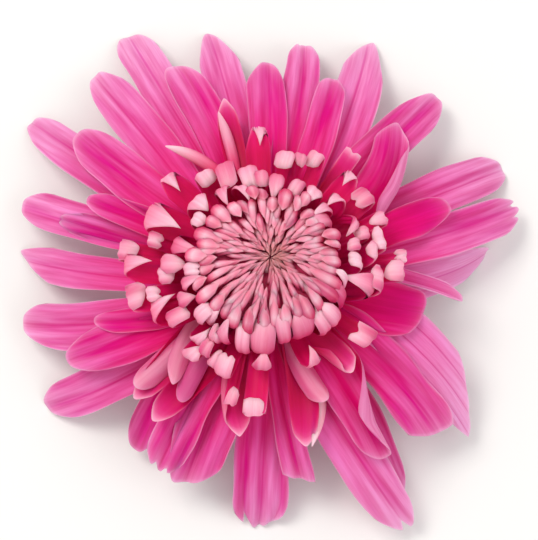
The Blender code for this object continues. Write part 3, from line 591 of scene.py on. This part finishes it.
headFlorets = {
    "cells": (9, 4),
    "count": 200,
    "fullness": 1.3,
    "arch": -0.4, "tipLift": 0.7,  # heights of the outer handle and the tip above the dome
    "eyeShift": (0.8, 0.6),  # mm, fading with the radius as exp(-(radius / eyeSpread) ** 2)
    "eyeSpread": 8.0,
    "dustPlace": (1.7, 0.9), "dustSpread": 3.0, "dustStrength": 0.6,
    "reach": 11.6,  # mm; outermost radius of the last floret that the rule places
    "paleLength": 6.5, "paleSpan": 4.5,
    "diceSeed": 5, "seedStep": 1.37,
    # each as the value at the middle and its growth towards the edge, in mm
    "hookSpan": (1.5, 4.0), "width": (0.5, 0.9), "depth": (1.6, 3.0),
    "firstRadius": 1.6, "firstStep": 0.6,  # the innermost floret's, in mm and as a share of a step
    "rootShare": 0.5, "rootLean": 0.25, "leastRoot": 0.2,  # what sets the radius where one starts
    "eyePaling": 0.5,  # share of its paling length that one keeps at the eye
    "edgeDepth": 5.0, "edgeShare": 0.9,  # the table's florets: how deep they start, how far out
    # how widely they scatter: mm, and degrees for the directions and the tilt
    "wayScatter": 5.0, "swerveScatter": 8.0, "widthScatter": 0.12, "liftScatter": 0.3, "tiltScatter": 14.0,
    "tones": (0.5, 1.5),
    # the margin tone below zero is painted shade at the florets' margins
    "form": {"claw": 0.6, "widest": 0.55, "tipWidth": 0.45, "tipDepth": 0.16, "tipPower": 1.6, "cup": 30.0,
             "clawCup": 36.0, "groove": 0.0, "wave": 0.0, "crown": 0.2, "marginShadeAndTone": -1.0, "thickness": 0.4},
    "coreSides": 48,
    "core": ((0.0, 19.9), (11.0, 20.0), (12.2, 21.5), (12.5, 24.5), (12.0, 27.0), (10.5, 28.2),
             (8.0, 28.8), (4.0, 29.0), (0.0, 28.4)),
    "outer": (
        # as the collar's hooks: those of the head's edge
        (102, 100, 15.0, 11.6, 2.0), (94, 93, 14.2, 11.4, 2.2), (60, 58, 15.8, 12.0, 1.9),
        (168, 176, 15.0, 11.0, 2.6), (132, 133, 14.6, 9.6, 2.3), (121, 121, 13.2, 9.2, 2.1),
        (142, 143, 14.0, 10.4, 2.1), (154, 157, 14.6, 8.8, 2.4), (162, 165, 13.4, 9.0, 2.2),
        (23, 24, 14.9, 11.1, 2.1), (16, 17, 14.1, 11.1, 2.0), (50, 51, 13.3, 9.9, 2.0),
        (74, 73, 14.6, 9.6, 2.4), (65, 60, 14.0, 10.4, 1.9), (9, 8, 13.4, 9.6, 2.0),
        (2, 1, 13.8, 10.0, 2.0), (-7, -5, 13.2, 9.4, 2.1), (-41, -34, 13.4, 8.8, 2.2),
        (-55, -48, 13.8, 8.8, 2.2), (-63, -56, 12.4, 8.4, 2.0), (-74, -70, 13.0, 8.8, 2.1),
        (-105, -109, 13.4, 9.2, 2.2), (-117, -122, 13.6, 9.4, 2.2), (-127, -131, 13.0, 9.0, 2.1),
        (-139, -141, 13.6, 9.8, 2.2), (-151, -153, 14.6, 9.8, 2.2), (-163, -164, 14.2, 11.4, 2.0),
        (-172, -174, 12.6, 9.6, 1.9), (85, 84, 12.6, 9.0, 2.0), (112, 111, 12.8, 9.2, 2.0),
        (40, 42, 12.6, 9.6, 2.0), (-19, -14, 14.6, 7.6, 1.9), (-29, -24, 15.0, 8.0, 1.9),
        (-90, -94, 12.8, 9.0, 2.2), (179, 178, 12.6, 9.2, 2.0), (172, 170, 13.0, 9.4, 2.0),
        (30, 33, 12.6, 8.8, 1.9),
    ),
}


def makeHeadFlorets(material):
    # The edge's florets by the table; inside it, by the golden angle, with the radius growing
    # evenly, so that they get larger and fewer towards the edge
    s = headFlorets
    dice = np.random.default_rng(s["diceSeed"])
    shells = [turnedShell(s["core"], s["coreSides"], (0, 0.15, 0.0))]
    rows = [(*row, s["edgeDepth"], s["edgeShare"]) for row in s["outer"]]
    golden = math.degrees(math.pi * (3.0 - math.sqrt(5.0)))
    for i in range(s["count"]):
        out = (i + s["firstStep"]) / s["count"]
        outer = s["reach"] * out + s["firstRadius"]
        span, width, depth = (least + growth * out
                              for least, growth in (s["hookSpan"], s["width"], s["depth"]))
        way = i * golden + dice.normal(0.0, s["wayScatter"])
        width += dice.normal(0.0, s["widthScatter"])
        tipWay = way + dice.normal(0.0, s["swerveScatter"])
        rows.append((way, tipWay, outer, outer - span, width, depth, out))
    for i, (rootWay, tipWay, outer, inner, width, depth, out) in enumerate(rows):
        lift = dice.normal(0.0, s["liftScatter"])
        # each starts below the middle of what shows of it, and a deeper one nearer the axis
        rootRadius = max(s["leastRoot"], outer - s["rootShare"] * (outer - inner) - s["rootLean"] * depth)
        root = (rootRadius, domeHeight(rootRadius) - depth)
        line = hookLine(root, outer, inner, s["arch"] + lift, s["tipLift"] + lift)
        kept = s["eyePaling"] + (1.0 - s["eyePaling"]) * out
        paleLength = s["paleLength"] * kept * max(1.0, (outer - inner) / s["paleSpan"])
        form = {**s["form"], "tone": dice.uniform(*s["tones"]), "tilt": dice.normal(0.0, s["tiltScatter"]),
                "paleLength": paleLength}
        shell = floretShell(line, s["cells"], i * s["seedStep"], rootWay, tipWay,
                            width * s["fullness"], form)
        # the whorl's eye lies a little behind the axis and right of it, with brown dust beside it
        near = np.exp(-(np.hypot(*shell["points"].T[:2]) / s["eyeSpread"]) ** 2)
        shell["points"][:, :2] += near[:, None] * s["eyeShift"]
        away = np.hypot(*(shell["points"][:, :2] - s["dustPlace"]).T)
        shell["kind"][:, 2] = s["dustStrength"] * np.exp(-(away / s["dustSpread"]) ** 2)
        shells.append(shell)
    makePiece("headFlorets", shells, material, "centre_florets")


bractCup = {
    "profile": ((0.0, 7.35), (2.6, 7.4), (5.4, 8.4), (7.8, 10.4), (9.0, 12.8), (9.2, 14.9), (0.0, 15.1)),
    "rows": (
        # bracts, root radius, root height, tip radius, tip height, width
        (9, 3.4, 7.7, 8.6, 10.4, 4.6), (11, 5.4, 8.7, 10.2, 13.2, 4.8), (13, 7.4, 10.4, 10.8, 15.0, 4.6),
    ),
    "cells": (14, 8),
    "turn": 38.0,  # degrees that a bract bends
    "phaseStep": 2.1, "seedStep": 1.7, "rowSeed": 40,
    "form": {"claw": 0.7, "widest": 0.45, "tipWidth": 0.35, "tipDepth": 0.1, "tipPower": 1.6, "cup": -24.0,
             "clawCup": -20.0, "groove": 0.08, "ridges": 1, "wave": 0.1, "rimPower": 5.0, "thickness": 0.5},
}


def makeBractCup(material):
    s = bractCup
    shells = [turnedShell(s["profile"], discSides, (0, 0.3, 0.0))]
    for row, (count, rootRadius, rootHeight, tipRadius, tipHeight, width) in enumerate(s["rows"]):
        line = arcLine((rootRadius, rootHeight), (tipRadius, tipHeight), s["turn"])
        for i in range(count):
            way = 360.0 * (i + 0.5 * (row % 2)) / count
            form = {**s["form"], "tone": (i % 3) / 2, "phase": i * s["phaseStep"]}
            seed = row * s["rowSeed"] + i * s["seedStep"]
            shells.append(floretShell(line, s["cells"], seed, way, way, width, form))
    makePiece("bractCup", shells, material, "involucre")


stemStub = {
    "radius": 2.5, "height": 7.0,  # mm
    "ribs": 5, "ribDepth": 0.18, "sides": 60, "rings": 12,
    "footShare": 0.93, "topShare": 1.05,  # of the radius, at the cut end and under the cup
    "footEdge": 0.15, "topEdge": 0.05,  # mm that those two widths take up
}


def makeStemStub(material):
    s = stemStub
    radius, height, ribs, depth = s["radius"], s["height"], s["ribs"], s["ribDepth"]
    steps = np.linspace(s["footEdge"], height - s["topEdge"], s["rings"])
    profile = [(0.0, 0.0), (radius * s["footShare"], 0.0), *((radius, level) for level in steps),
               (radius * s["topShare"], height), (0.0, height)]
    shell = turnedShell(profile, s["sides"], (0, 0.5, 0.0),
                        lambda angle: 1.0 - depth / radius * 0.5 * (1.0 - np.cos(ribs * angle)))
    makePiece("stemStub", [shell], material, "stem")


skinRules = {
    "veinStretch": 0.06,  # a vein's run along the floret, as a share of that across it
    "veinDetail": 3.0, "veinRoughness": 0.6, "veinRange": (0.35, 0.68),
    "patchScale": (0.5, 0.05, 1.0), "patchDetail": 2.0, "patchRange": (0.3, 0.7),
    "grooveShadeRange": (-0.9, -1.0),  # of the ridges' cosine, where a groove's line of painted shade begins and is full
    "reliefStrength": 0.35, "reliefHeight": 0.15,  # mm
    "ior": 1.42,  # of a wet cell wall
    "scatterRadii": (1.0, 0.8, 0.85), "scatterLength": 0.8,  # mm
}


def plantSkin(name, looks):
    # Fresh skin of petal, bract or stem: soft and slightly translucent, with fine lengthwise veins, so
    # the light blurs inside it and only a faint gloss shows. A petal is paler at its rim and its back.
    # Real veins lie about 0.3 mm apart, which is too fine to show; veinsPerMm draws them coarser.
    s = skinRules
    made = bpy.data.materials.new(name)
    made.use_nodes = True
    tree = made.node_tree
    shader = tree.nodes["Principled BSDF"]
    place, kind, grain = (addNode(tree, "ShaderNodeAttribute", {}, attribute_name=key).outputs["Vector"]
                          for key in ("place", "kind", "grain"))
    across, along, face = addNode(tree, "ShaderNodeSeparateXYZ", {"Vector": place}).outputs
    # the tone carries the painted margin shade as well; the third value is brown dust on the head's florets
    # and lilac painted shade on the boats
    tone, rim, dustAndShade = addNode(tree, "ShaderNodeSeparateXYZ", {"Vector": kind}).outputs
    fine = addNode(tree, "ShaderNodeVectorMath", {
        0: grain, 1: (looks["veinsPerMm"], s["veinStretch"], 1.0)}, operation="MULTIPLY")
    veins = addNode(tree, "ShaderNodeTexNoise", {
        "Vector": fine.outputs["Vector"], "Scale": 1.0, "Detail": s["veinDetail"],
        "Roughness": s["veinRoughness"]}).outputs["Fac"]
    broad = addNode(tree, "ShaderNodeVectorMath", {0: grain, 1: s["patchScale"]}, operation="MULTIPLY")
    patches = addNode(tree, "ShaderNodeTexNoise", {
        "Vector": broad.outputs["Vector"], "Scale": 1.0, "Detail": s["patchDetail"]}).outputs["Fac"]
    patchTone = addNode(tree, "ShaderNodeMapRange", {
        "Value": patches, "From Min": s["patchRange"][0], "From Max": s["patchRange"][1],
        "To Min": -looks["patchTone"], "To Max": looks["patchTone"]}).outputs["Result"]
    # ridges run along the floret: 1 on a ridge's back and -1 in the groove beside it. The backs are painted
    # lighter and the grooves darker, as painted highlight and shade of the ridges' relief
    turn = addNode(tree, "ShaderNodeMath", {0: across, 1: math.pi}, operation="MULTIPLY")
    ridge = addNode(tree, "ShaderNodeMath", {0: turn.outputs[0]}, operation="COSINE").outputs[0]
    # painted highlight and shade: the tone rises along each ridge's back and falls in each groove
    ridgeLightAndShade = addNode(tree, "ShaderNodeMath", {
        0: ridge, 1: looks["ridgeLightAndShade"], 2: patchTone}, operation="MULTIPLY_ADD")
    toneAndShade = addNode(tree, "ShaderNodeMath", {0: tone, 1: ridgeLightAndShade.outputs[0]}, operation="ADD")
    # painted shade: a dark line laid along each groove
    grooveShade, veinMask = (addNode(tree, "ShaderNodeMapRange", {
        "Value": value, "From Min": s[key][0], "From Max": s[key][1],
        "To Min": 0.0, "To Max": looks[strength]}).outputs["Result"]
        for value, key, strength in ((ridge, "grooveShadeRange", "grooveShadeStrength"),
                                     (veins, "veinRange", "veinStrength")))
    rimMask = addNode(tree, "ShaderNodeMath", {0: rim, 1: looks["rimStrength"]}, operation="MULTIPLY")
    colours = {key: linearColour(looks[key]) for key in ("veinColour", "rimColour", "dustAndShadeColour")}
    for key, places in (("deep", "upperStops"), ("pale", "upperStops"),
                        ("back", "backStops"), ("backDeep", "backStops")):
        ramp = addNode(tree, "ShaderNodeValToRGB", {"Fac": along}, zip(looks[places], looks[key]))
        colours[key] = ramp.outputs["Color"]
    # each row lays its third colour over its second by the factor, and its first names the result
    for result, under, over, factor, blend in (
            ("upper", "deep", "pale", toneAndShade.outputs[0], "MIX"),
            ("grooveShaded", "upper", "deep", grooveShade, "MIX"),
            ("lower", "backDeep", "back", toneAndShade.outputs[0], "MIX"),
            ("bothFaces", "lower", "grooveShaded", face, "MIX"),
            ("veined", "bothFaces", "veinColour", veinMask, "MULTIPLY"),
            ("rimmed", "veined", "rimColour", rimMask.outputs[0], "MIX"),
            ("withDustAndShade", "rimmed", "dustAndShadeColour", dustAndShade, "MIX")):
        colours[result] = addNode(tree, "ShaderNodeMixRGB", {
            "Fac": factor, "Color1": colours[under], "Color2": colours[over]},
            blend_type=blend).outputs["Color"]
    bump = addNode(tree, "ShaderNodeBump", {
        "Height": veins, "Strength": s["reliefStrength"], "Distance": s["reliefHeight"] * mm})
    tree.links.new(colours["withDustAndShade"], shader.inputs["Base Color"])
    tree.links.new(bump.outputs["Normal"], shader.inputs["Normal"])
    values = {"Roughness": looks["roughness"], "IOR": s["ior"], "Specular IOR Level": looks["gloss"],
              "Subsurface Weight": looks["scatter"], "Subsurface Radius": s["scatterRadii"],
              "Subsurface Scale": s["scatterLength"] * mm}
    for key, value in values.items():
        shader.inputs[key].default_value = value
    return made


# Skin of the ray florets: velvety and matt, deep magenta at the root and thinning to pink at the tip
rayPetal = {
    "upperStops": (0.0, 0.3, 0.65, 1.0), "backStops": (0.0, 0.5, 1.0),
    "deep": ("#DC0456", "#E6046E", "#D80886", "#D4409C"),
    "pale": ("#EA0862", "#F43AA2", "#EE7EC0", "#ECA2D0"),
    "back": ("#D84C86", "#F09CC6", "#F9C2DE"),
    "backDeep": ("#C03874", "#E07CB0", "#F0A4CC"),
    "veinsPerMm": 1.3, "veinStrength": 0.5, "veinColour": "#E060A6", "patchTone": 0.42,
    "ridgeLightAndShade": 0.12, "grooveShadeStrength": 0.55, "rimStrength": 0.34, "rimColour": "#FCCAE4",
    "dustAndShadeColour": "#D04890", "roughness": 0.6, "gloss": 0.12, "scatter": 0.45,
}
# Skin of the hooked florets: deep crimson inside, and a pale, faintly glossy back that the hook shows
hookedPetal = {
    "upperStops": (0.0, 0.5, 0.8, 1.0), "backStops": (0.0, 0.3, 0.6, 0.85, 1.0),
    "deep": ("#C40650", "#D41070", "#DC1C86", "#EE6EAE"),
    "pale": ("#DC0C64", "#EC1C80", "#EE4C9C", "#FAACCE"),
    # the back's palest stops, at 0.85 and 1.0, are partly the petal's pale reverse and partly painted
    # highlight
    "back": ("#E01858", "#EE5C8C", "#FAA8C2", "#FFD0DC", "#FFD2DA"),
    "backDeep": ("#C80048", "#D02466", "#DA4C82", "#E46C96", "#EC84A4"),
    "veinsPerMm": 1.6, "veinStrength": 0.28, "veinColour": "#EC7CA4", "patchTone": 0.3,
    "ridgeLightAndShade": 0.05, "grooveShadeStrength": 0.0, "rimStrength": 0.5, "rimColour": "#FED0DE",
    # its third colour is a lilac painted shade for the boats
    "dustAndShadeColour": "#CC4890", "roughness": 0.5, "gloss": 0.2, "scatter": 0.45,
}
# Skin of the young florets in the middle: tight and thin, so that it glows pink, with brown dust
centrePetal = {
    "upperStops": (0.0, 0.4, 0.75, 1.0), "backStops": (0.0, 0.25, 0.5, 0.75, 1.0),
    "deep": ("#CC1450", "#D83864", "#E46888", "#F098AE"),
    "pale": ("#D02860", "#E0507C", "#F08CA6", "#FABCC8"),
    # back and backDeep are palest at 0.5, where a floret turns over, and deeper towards the tip: painted
    # highlight on the crown and painted shade at the tip
    "back": ("#D82060", "#F06890", "#FFC4D2", "#FA9CB4", "#E87490"),
    "backDeep": ("#B81050", "#CC3064", "#D8608A", "#D05478", "#C04060"),
    "veinsPerMm": 1.8, "veinStrength": 0.25, "veinColour": "#E87C9C", "patchTone": 0.3,
    "ridgeLightAndShade": 0.1, "grooveShadeStrength": 0.0, "rimStrength": 0.2, "rimColour": "#FCC4D0",
    "dustAndShadeColour": "#B8806A", "roughness": 0.5, "gloss": 0.2, "scatter": 0.6,
}
# Waxy skin of the bracts: smooth and green with a soft gloss, dry and brownish at the margin
waxyBract = {
    "upperStops": (0.0, 0.5, 1.0), "backStops": (0.0, 0.5, 1.0),
    "deep": ("#4E6B2C", "#5F8238", "#7C8E48"),
    "pale": ("#5F7F38", "#779A4A", "#99A262"),
    "back": ("#55752F", "#6A8E40", "#8E9A56"),
    "backDeep": ("#48642A", "#587A36", "#7A8648"),
    "veinsPerMm": 1.6, "veinStrength": 0.4, "veinColour": "#9DB070", "patchTone": 0.2,
    "ridgeLightAndShade": 0.2, "grooveShadeStrength": 0.3, "rimStrength": 0.7, "rimColour": "#9A8A5A",
    "dustAndShadeColour": "#55752F", "roughness": 0.42, "gloss": 0.5, "scatter": 0.1,
}
# Skin of the fleshy stem: green and faintly glossy, with paler fibres along it
greenStem = {
    "upperStops": (0.0, 1.0), "backStops": (0.0, 1.0),
    "deep": ("#5C7E36", "#6E9142"),
    "pale": ("#6A8C40", "#7FA050"),
    "back": ("#5C7E36", "#7C9E4C"),
    "backDeep": ("#5C7E36", "#6E9040"),
    "veinsPerMm": 1.1, "veinStrength": 0.5, "veinColour": "#9DB878", "patchTone": 0.3,
    "ridgeLightAndShade": 0.0, "grooveShadeStrength": 0.0, "rimStrength": 0.0, "rimColour": "#9A8A5A",
    "dustAndShadeColour": "#5C7E36", "roughness": 0.45, "gloss": 0.5, "scatter": 0.1,
}


studio = {
    "aimHeight": 12.0,  # mm; the height on the bloom's axis that the camera is set by
    "aimOffset": (0.58, 1.54),  # mm; how far right and up of it the picture's middle lies
    "distance": 520.0,  # mm
    "elevation": 80.0,  # degrees
    "lens": 180.6, "film": 36.0,  # mm; the film's height
    "floorSide": 4000.0,  # mm
    "floorColour": "#F4F2F0", "floorRoughness": 0.9,
    "world": ("#FFFFFF", 0.76),  # colour and strength
    "lamps": (
        # name, place in m, side in m, watts, colour
        ("keySoftbox", (-0.45, 0.35, 0.85), 0.45, 4.6, "#FFFAF5"),
        ("fillSoftbox", (0.75, -0.3, 0.7), 0.6, 1.7, "#F6F8FF"),
    ),
}


def makeStudio():
    # A flat pale floor, even light from all round, and two soft lamps that face the origin
    half = studio["floorSide"] * mm / 2
    mesh = bpy.data.meshes.new("floor")
    mesh.from_pydata([(-half, -half, 0), (half, -half, 0), (half, half, 0), (-half, half, 0)],
                     [], [(0, 1, 2, 3)])
    matt = bpy.data.materials.new("mattPaper")  # uncoated paper: rough, so it gives no gloss
    matt.use_nodes = True
    shader = matt.node_tree.nodes["Principled BSDF"]
    shader.inputs["Base Color"].default_value = linearColour(studio["floorColour"])
    shader.inputs["Roughness"].default_value = studio["floorRoughness"]
    mesh.materials.append(matt)
    floor = addObject("floor", mesh)

    world = bpy.data.worlds.new("studioLight")
    bpy.context.scene.world = world
    world.use_nodes = True
    background = world.node_tree.nodes["Background"]
    background.inputs["Color"].default_value = linearColour(studio["world"][0])
    background.inputs["Strength"].default_value = studio["world"][1]
    for name, place, side, watts, colour in studio["lamps"]:
        lamp = bpy.data.lights.new(name, "AREA")
        lamp.size = side
        lamp.energy = watts
        lamp.color = linearColour(colour)[:3]
        holder = addObject(name, lamp)
        holder.location = place
        aim = -np.array(place)
        holder.rotation_euler = (math.atan2(math.hypot(aim[0], aim[1]), -aim[2]), 0.0,
                                 math.atan2(aim[1], aim[0]) - math.pi / 2)
    bpy.context.scene.view_settings.view_transform = "Standard"
    print("floor, world and", len(studio["lamps"]), "lamps are set")


def makeCamera():
    # Looks along +Y and down by the elevation; the picture's middle lies aimOffset from the axis
    tilt = math.radians(studio["elevation"])
    right, up = studio["aimOffset"]
    target = np.array((bloomAxis[0] + right, bloomAxis[1] + up * math.sin(tilt),
                       studio["aimHeight"] + up * math.cos(tilt)))
    place = target + studio["distance"] * np.array((0.0, -math.cos(tilt), math.sin(tilt)))
    lens = bpy.data.cameras.new("camera")
    lens.sensor_fit = "VERTICAL"
    lens.sensor_height = studio["film"]
    lens.lens = studio["lens"]
    holder = addObject("camera", lens)
    holder.location = place * mm
    holder.rotation_euler = (math.pi / 2 - tilt, 0.0, 0.0)
    bpy.context.scene.camera = holder
    print("camera is set at elevation", studio["elevation"])


makeStudio()
makeCamera()
makeRayFlorets(plantSkin("rayPetal", rayPetal))
makeCollarFlorets(plantSkin("hookedPetal", hookedPetal))
makeHeadFlorets(plantSkin("centrePetal", centrePetal))
makeBractCup(plantSkin("waxyBract", waxyBract))
makeStemStub(plantSkin("greenStem", greenStem))
